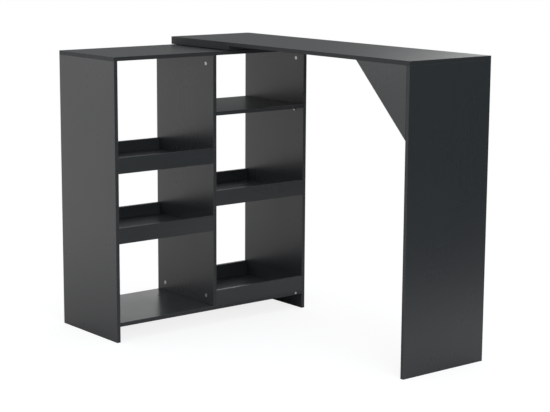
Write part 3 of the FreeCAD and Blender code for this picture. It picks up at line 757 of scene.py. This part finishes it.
def cam_disc_mesh():
    disc = solid_object("cam_blank", [
        (CAM_RADIUS - CAM_RIM, -CAM_DEPTH), (CAM_RADIUS, CAM_RIM - CAM_DEPTH),
        (CAM_RADIUS, CAM_FACE - CAM_RIM), (CAM_RADIUS - CAM_RIM, CAM_FACE),
        (GROOVE_OUTSIDE, CAM_FACE), (GROOVE_OUTSIDE - GROOVE_SLOPE, GROOVE_FLOOR),
        (GROOVE_INSIDE + GROOVE_SLOPE, GROOVE_FLOOR), (GROOVE_INSIDE, CAM_FACE),
        (cross(CROSS_TIP, CROSS_WAIST), CAM_FACE), (cross(CROSS_FLOOR_TIP, CROSS_FLOOR_WAIST), CROSS_FLOOR),
    ], Matrix())
    mouth_place = standing(MM * Vector((MOUTH_BACK, 0.0, BOARD_MIDDLE)), AXES[0])
    mouth_length = CAM_RADIUS - MOUTH_BACK + MOUTH_OVERSHOOT
    mouth_profile = [(MOUTH_RADIUS, 0.0), (MOUTH_RADIUS, mouth_length)]
    mouth = solid_object("cam_mouth", mouth_profile, mouth_place, MOUTH_SIDES)
    cut = disc.modifiers.new("mouth", "BOOLEAN")
    cut.object = mouth
    cut.solver = "EXACT"
    data = bpy.data.meshes.new_from_object(disc.evaluated_get(bpy.context.evaluated_depsgraph_get()))
    bpy.data.objects.remove(disc)
    bpy.data.objects.remove(mouth)
    return data


cam_disc = cam_disc_mesh()
print("one cam disc, faces:", len(cam_disc.polygons))

# %% [markdown]
# The finished disc is copied into every hole, which is quicker than one Boolean for each. Its face lies in
# the face of the board that holds it, its mouth looks at the nearest bolt, and a small raised arrow shows
# the fitter where the mouth is.

# %% Set the cam discs
ARROW_RADIUS, ARROW_PLACE, ARROW_TOP, ARROW_SIDES = 0.45, CAM_RADIUS - 1.0, -0.02, 3


def board_round(point):
    """The board whose box holds a point."""
    for name in BOARDS:
        low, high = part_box(name)
        if all(low[axis] <= point[axis] <= high[axis] for axis in range(3)):
            return name
    raise ValueError(f"no board at {point}")


def cam_place(box, bolts):
    axis = axes_by_length(box)[0]
    centre = middle(box)
    low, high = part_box(board_round(centre))
    faces_up = high[axis] - box[1][axis] < box[0][axis] - low[axis]
    forward = nearest(centre, bolts) - centre
    forward[axis] = 0.0
    centre[axis] = box[1][axis] if faces_up else box[0][axis]
    return standing(centre, AXES[axis] if faces_up else -AXES[axis], forward.normalized())


def set_cams(body):
    mesh = bmesh.new()
    bolts = [middle(box) for box in solids_of(f"{body}_cam_bolts")]
    for box in solids_of(f"{body}_cam_discs"):
        place = cam_place(box, bolts)
        disc = cam_disc.copy()
        disc.transform(place)
        mesh.from_mesh(disc)
        bpy.data.meshes.remove(disc)
        arrow_place = place @ Matrix.Translation(MM * Vector((ARROW_PLACE, 0.0, 0.0)))
        skin(mesh, [(ARROW_RADIUS, CAM_FACE), (ARROW_RADIUS, ARROW_TOP)], arrow_place, ARROW_SIDES)
    new_piece(f"{body}_cams", mesh, cast_zinc, "cam_zinc", body, f"{body}_cam_discs")


for body in ("cabinet", "table"):
    set_cams(body)

# %% [markdown]
# ## Cam bolts
# A cam bolt is screwed into one board and reaches with a ball head into the cam of the other. Its shank is
# a skinned profile. The thread could be a row of rings, but real threads climb, so it is wound as a helix.

# %% Cam bolts
BOLT_PROFILE = [
    (1.4, 0.0), (2.2, 1.0), (2.2, 11.0),                                # tip and threaded stem
    (3.2, 11.4), (3.2, 12.8), (2.7, 13.4),                              # collar on the board's face
    (2.7, 37.0), (1.8, 39.5), (1.8, 43.2),                              # shank and narrow neck
    (2.8, 43.8), (3.2, 45.2), (3.2, 46.4), (2.7, 47.9), (1.5, 48.6),    # ball head
]
BOLT_THREAD = {"root": 2.15, "crest": 3.1, "pitch": 1.6, "start": 1.2, "length": 8.8}
THREAD_SIDES = 24


def thread(mesh, root, crest, pitch, start, length, place, sides=THREAD_SIDES):
    """A closed screw thread in millimetres that winds up the Z axis and fades out at both ends."""
    steps = round(length / pitch * sides)
    roots, crests = [], []
    for step in range(steps + 1):
        angle = 2 * math.pi * step / sides
        height = start + pitch * step / sides
        reach = root + (crest - root) * min(1.0, step / sides, (steps - step) / sides)
        around = Vector((math.cos(angle), math.sin(angle), 0.0))
        roots.append(mesh.verts.new(place @ (MM * (root * around + Vector((0, 0, height))))))
        crests.append(mesh.verts.new(place @ (MM * (reach * around + Vector((0, 0, height + pitch / 2))))))
    for step in range(steps):
        mesh.faces.new((roots[step], roots[step + 1], crests[step + 1], crests[step]))
    for step in range(steps - sides):
        next_turn = step + sides
        mesh.faces.new((crests[step], crests[step + 1], roots[next_turn + 1], roots[next_turn]))
    mesh.faces.new(roots[sides::-1] + crests[:1])
    mesh.faces.new(crests[steps - sides:] + roots[-1:])


def set_bolts(body):
    mesh = bmesh.new()
    cams = [middle(box) for box in solids_of(f"{body}_cam_discs")]
    for box in solids_of(f"{body}_cam_bolts"):
        axis = axes_by_length(box)[-1]
        centre = middle(box)
        upward = AXES[axis] if nearest(centre, cams)[axis] > centre[axis] else -AXES[axis]
        place = standing(centre - upward * (box[1][axis] - box[0][axis]) / 2, upward)
        skin(mesh, BOLT_PROFILE, place, THREAD_SIDES)
        thread(mesh, place=place, **BOLT_THREAD)
    new_piece(f"{body}_bolts", mesh, plated_steel, "bolt_steel", body, f"{body}_cam_bolts")


for body in ("cabinet", "table"):
    set_bolts(body)

# %% [markdown]
# ## Dowels
# Beech dowels line the boards up. Their small grooves let glue and air out. A formula for the radius cuts
# all grooves at once, which is lighter than modelling each one.

# %% Dowels
DOWEL_RADIUS, DOWEL_CHAMFER = 4.0, 1.0
FLUTE_DEPTH, FLUTE_COUNT, POINTS_IN_FLUTE = 0.25, 16, 4


def fluted(angle):
    """Reach of a rod with small grooves along it."""
    return DOWEL_RADIUS - FLUTE_DEPTH * (0.5 + 0.5 * math.cos(FLUTE_COUNT * angle))


def set_dowels(body):
    mesh = bmesh.new()
    end = DOWEL_RADIUS - DOWEL_CHAMFER
    for box in solids_of(f"{body}_dowels"):
        axis = axes_by_length(box)[-1]
        length = (box[1][axis] - box[0][axis]) / MM
        start = middle(box)
        start[axis] = box[0][axis]
        profile = [(end, 0.0), (fluted, DOWEL_CHAMFER), (fluted, length - DOWEL_CHAMFER), (end, length)]
        skin(mesh, profile, standing(start, AXES[axis]), FLUTE_COUNT * POINTS_IN_FLUTE)
    new_piece(f"{body}_fluted_dowels", mesh, plain_beech, "dowel_beech", body, f"{body}_dowels")


for body in ("cabinet", "table"):
    set_dowels(body)

# %% [markdown]
# ## Shelf supports
# Each support is a small nickel wedge with a pin that plugs into the panel, and the plain shelf lies on it.
# A cube could be cut to a wedge, but an outline that is pulled to its width and then bevelled gives the
# pressed, slightly hollow front and the soft edges at once.

# %% One shelf support
SUPPORT_REACH, SUPPORT_DROP, SUPPORT_WIDTH = 12.0, 14.0, 9.0
SUPPORT_NOSE, SUPPORT_HOLLOW, HOLLOW_STEPS = 1.6, 0.42, 8
SUPPORT_SOFTNESS, SOFT_STEPS, SOFT_ROUNDNESS = 0.35, 2, 0.5
SUPPORT_CORNER = math.radians(40)
PIN_RADIUS, PIN_LENGTH, PIN_DROP, PIN_CHAMFER, PIN_SIDES = 2.5, 9.0, 7.0, 0.5, 24


def support_outline():
    """The wedge seen from the side, from the panel's face outward: flat top, blunt nose, hollow front."""
    nose = Vector((SUPPORT_REACH, -SUPPORT_NOSE))
    toe = Vector((SUPPORT_NOSE, -SUPPORT_DROP))
    bend = Vector((SUPPORT_REACH * SUPPORT_HOLLOW, -SUPPORT_DROP * SUPPORT_HOLLOW))
    front = []
    for step in range(HOLLOW_STEPS + 1):
        share = step / HOLLOW_STEPS
        front.append(nose * (1 - share) ** 2 + bend * 2 * share * (1 - share) + toe * share ** 2)
    return [Vector((0, -SUPPORT_DROP)), Vector((0, 0)), Vector((SUPPORT_REACH, 0)), *front]


def support_mesh():
    mesh = bmesh.new()
    side = [MM * Vector((point.x, -SUPPORT_WIDTH / 2, point.y)) for point in support_outline()]
    near = mesh.faces.new([mesh.verts.new(point) for point in side])
    pulled = bmesh.ops.extrude_face_region(mesh, geom=[near])["geom"]
    far = [item for item in pulled if isinstance(item, bmesh.types.BMVert)]
    bmesh.ops.translate(mesh, verts=far, vec=MM * Vector((0, SUPPORT_WIDTH, 0)))
    bmesh.ops.recalc_face_normals(mesh, faces=mesh.faces)
    corners = [edge for edge in mesh.edges if edge.calc_face_angle() > SUPPORT_CORNER]
    bmesh.ops.bevel(
        mesh, geom=corners, offset=SUPPORT_SOFTNESS * MM, segments=SOFT_STEPS, profile=SOFT_ROUNDNESS,
        affect="EDGES",
    )
    pin_place = standing(MM * Vector((SUPPORT_SOFTNESS, 0.0, -PIN_DROP)), -AXES[0])
    pin_end = PIN_LENGTH + SUPPORT_SOFTNESS
    pin = [(PIN_RADIUS, 0.0), (PIN_RADIUS, pin_end - PIN_CHAMFER), (PIN_RADIUS - PIN_CHAMFER, pin_end)]
    skin(mesh, pin, pin_place, PIN_SIDES)
    data = bpy.data.meshes.new("support_wedge")
    mesh.to_mesh(data)
    mesh.free()
    return data


support_wedge = support_mesh()
print("one shelf support, faces:", len(support_wedge.polygons))

# %% [markdown]
# The supports stand in two panels and look at each other, so each copy is turned towards the shelf's middle
# and set with its tip where the CAD solid has its own.

# %% Set the shelf supports
def set_supports():
    mesh = bmesh.new()
    shelf_middle = middle(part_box("right_upper_shelf"))
    for box in solids_of("shelf_supports"):
        centre = middle(box)
        inward = AXES[0] if centre.x < shelf_middle.x else -AXES[0]
        tip = box[1].x if inward.x > 0 else box[0].x
        origin = Vector((tip - inward.x * SUPPORT_REACH * MM, centre.y, box[1].z))
        wedge = support_wedge.copy()
        wedge.transform(standing(origin, AXES[2], inward))
        mesh.from_mesh(wedge)
        bpy.data.meshes.remove(wedge)
    new_piece("shelf_support_wedges", mesh, bright_nickel, "support_nickel", "cabinet", "shelf_supports")


set_supports()

# %% [markdown]
# ## Screws
# Four screws hold the swivel block to the tabletop from below, and one bright screw shows in the front
# edge of the bottom board. They could be one screw in two scales, but a thicker screw has another head as
# well, so each kind has its own profile. Both have a cross recess and a wound thread.

# %% Screws
BLOCK_SCREW = [
    (0.2, -26.0), (1.3, -23.6), (1.35, -2.9),                           # point and stem
    (1.6, -2.5), (3.9, -0.45), (4.0, -0.2), (3.85, 0.0),                # sunk head
    (cross(2.6, 0.9), 0.0), (cross(1.6, 0.5), -1.7),                    # cross recess
]
BLOCK_THREAD = {"root": 1.3, "crest": 2.0, "pitch": 1.8, "start": -23.4, "length": 16.5}
EDGE_SCREW = [
    (0.3, -30.0), (1.9, -27.4), (2.0, -3.4), (2.3, -3.0),               # point and stem
    (5.2, -3.0), (5.5, -2.6), (5.5, -1.5), (4.9, -0.6), (3.9, -0.1),    # domed head
    (cross(3.1, 1.05), 0.0), (cross(2.0, 0.6), -2.3),                   # cross recess
]
EDGE_THREAD = {"root": 1.95, "crest": 3.0, "pitch": 2.4, "start": -27.0, "length": 19.5}


def screw_mesh(node, profile, winding, outward):
    """Screws whose heads look outward, with their faces at that end of their CAD solids."""
    mesh = bmesh.new()
    axis = max(range(3), key=lambda index: abs(outward[index]))
    for box in solids_of(node):
        head = middle(box)
        head[axis] = box[1][axis] if outward[axis] > 0 else box[0][axis]
        place = standing(head, outward)
        skin(mesh, profile, place)
        thread(mesh, place=place, **winding)
    return mesh


block_screws = screw_mesh("swivel_block_screws", BLOCK_SCREW, BLOCK_THREAD, -AXES[2])
new_piece("block_wood_screws", block_screws, plated_steel, "bolt_steel", "table", "swivel_block_screws")
edge_screw = screw_mesh("bottom_edge_screw", EDGE_SCREW, EDGE_THREAD, -AXES[1])
new_piece("edge_screw", edge_screw, bright_nickel, "support_nickel", "cabinet", "bottom_edge_screw")

# %% [markdown]
# ## Pivot bolt
# The top turns on one bolt. Its mushroom head and square neck are sunk in the swivel block, so it turns
# with the table. The square neck could be a separate box, but as two more rings of the profile it joins the
# round shank without a seam.

# %% Pivot bolt
PIVOT_RADIUS, PIVOT_TAIL_CHAMFER = 4.0, 0.8
PIVOT_THREAD_ROOT, PIVOT_PITCH, PIVOT_THREAD_LENGTH, PIVOT_RUNOUT = 3.3, 1.25, 13.0, 1.0
NECK_HALF, NECK_HEIGHT, NECK_CORNER = 4.2, 4.2, 5.2
PIVOT_HEAD_HEIGHT = 4.4
MUSHROOM = [
    (9.7, -PIVOT_HEAD_HEIGHT), (10.0, -4.0),                            # rim
    (9.3, -2.6), (7.2, -1.0), (4.0, -0.15), (1.0, 0.0),                 # dome
]


def square_neck(angle):
    """Reach of a square neck with its corners turned off."""
    flat = NECK_HALF / max(abs(math.cos(angle)), abs(math.sin(angle)))
    return min(flat, NECK_CORNER)


def standing_at_top(node):
    low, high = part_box(node)
    return standing(Vector(((low.x + high.x) / 2, (low.y + high.y) / 2, high.z)), AXES[2])


def make_pivot_bolt():
    low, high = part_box("pivot_bolt")
    tail = (low.z - high.z) / MM
    thread_start, thread_top = tail + PIVOT_TAIL_CHAMFER, tail + PIVOT_THREAD_LENGTH
    neck_end = -PIVOT_HEAD_HEIGHT - NECK_HEIGHT
    place = standing_at_top("pivot_bolt")
    mesh = bmesh.new()
    skin(mesh, [
        (PIVOT_THREAD_ROOT - PIVOT_TAIL_CHAMFER, tail), (PIVOT_THREAD_ROOT, thread_start),
        (PIVOT_THREAD_ROOT, thread_top), (PIVOT_RADIUS, thread_top + PIVOT_RUNOUT),
        (PIVOT_RADIUS, neck_end), (square_neck, neck_end), (square_neck, -PIVOT_HEAD_HEIGHT), *MUSHROOM,
    ], place)
    thread_length = PIVOT_THREAD_LENGTH - PIVOT_PITCH
    thread(
        mesh, PIVOT_THREAD_ROOT, PIVOT_RADIUS, PIVOT_PITCH, thread_start, thread_length, place, RING_SIDES,
    )
    new_piece("pivot_mushroom_bolt", mesh, plated_steel, "bolt_steel", "table", "pivot_bolt")


make_pivot_bolt()

# %% [markdown]
# ## Washer
# A washer under the cabinet top spreads the pull of the nut. It is flat metal with a bore and slightly
# rounded edges. A disc with a Boolean hole would do, but a skin that ends where it starts makes the bore
# along with the rest.

# %% Washer
WASHER_RADIUS, WASHER_BORE, WASHER_THICKNESS, WASHER_EDGE = 12.0, 4.25, 2.0, 0.3


def make_washer():
    mesh = bmesh.new()
    outer, inner = WASHER_RADIUS - WASHER_EDGE, WASHER_BORE + WASHER_EDGE
    bottom, lower, upper = -WASHER_THICKNESS, WASHER_EDGE - WASHER_THICKNESS, -WASHER_EDGE
    skin(mesh, [
        (inner, bottom), (outer, bottom), (WASHER_RADIUS, lower), (WASHER_RADIUS, upper),
        (outer, 0.0), (inner, 0.0), (WASHER_BORE, upper), (WASHER_BORE, lower),
    ], standing_at_top("pivot_washer"), tube=True)
    new_piece("pivot_plain_washer", mesh, plated_steel, "bolt_steel", "table", "pivot_washer")


make_washer()

# %% [markdown]
# ## Lock nut
# The nut must hold without being drawn tight, or the top would not turn. So it is a lock nut: a hexagon
# with a round rim below, which grips a nylon collar. A six-sided cylinder would need its rim joined on. A
# formula of the angle on two rings of a tube makes the hexagon and goes on into the round rim. The collar
# is a piece of its own, because it is another material.

# %% Lock nut
NUT_FLATS, NUT_HEIGHT, NUT_CHAMFER, NUT_CORNER = 13.0, 8.0, 0.7, 0.1
NUT_BORE, BORE_CHAMFER = 4.05, 0.4
RIM_RADIUS, RIM_WALL, RIM_HEIGHT, RIM_ROUNDING, RIM_LIP = 5.9, 0.8, 2.0, 0.5, 0.2
COLLAR_GAP = 0.02
HEXAGON_STEP = math.pi / 3


def hexagon(angle):
    """Reach of the nut's hexagon, with a flat side that looks along X."""
    half_step = HEXAGON_STEP / 2
    return NUT_FLATS / 2 / math.cos((angle + half_step) % HEXAGON_STEP - half_step)


def make_lock_nut():
    place = standing_at_top("pivot_lock_nut")
    bottom, hexagon_end = -NUT_HEIGHT, RIM_HEIGHT - NUT_HEIGHT
    corner, rim_inside = NUT_FLATS / 2 - NUT_CORNER, RIM_RADIUS - RIM_WALL
    nut = bmesh.new()
    skin(nut, [
        (rim_inside, hexagon_end), (rim_inside, bottom + RIM_LIP), (RIM_RADIUS - RIM_WALL / 2, bottom),
        (RIM_RADIUS, bottom + RIM_ROUNDING), (RIM_RADIUS, hexagon_end), (corner, hexagon_end),
        (hexagon, hexagon_end + NUT_CHAMFER), (hexagon, -NUT_CHAMFER), (corner, 0.0),
        (NUT_BORE + BORE_CHAMFER, 0.0), (NUT_BORE, -BORE_CHAMFER), (NUT_BORE, hexagon_end),
    ], place, tube=True)
    new_piece("pivot_nut", nut, plated_steel, "bolt_steel", "table", "pivot_lock_nut")

    outside = rim_inside - COLLAR_GAP
    collar_bottom, collar_top = bottom + RIM_ROUNDING, hexagon_end - COLLAR_GAP
    collar = bmesh.new()
    skin(collar, [
        (NUT_BORE, collar_bottom), (outside, collar_bottom), (outside, collar_top), (NUT_BORE, collar_top),
    ], place, tube=True)
    new_piece("pivot_nut_collar", collar, grey_nylon, "bush_nylon", "table")


make_lock_nut()
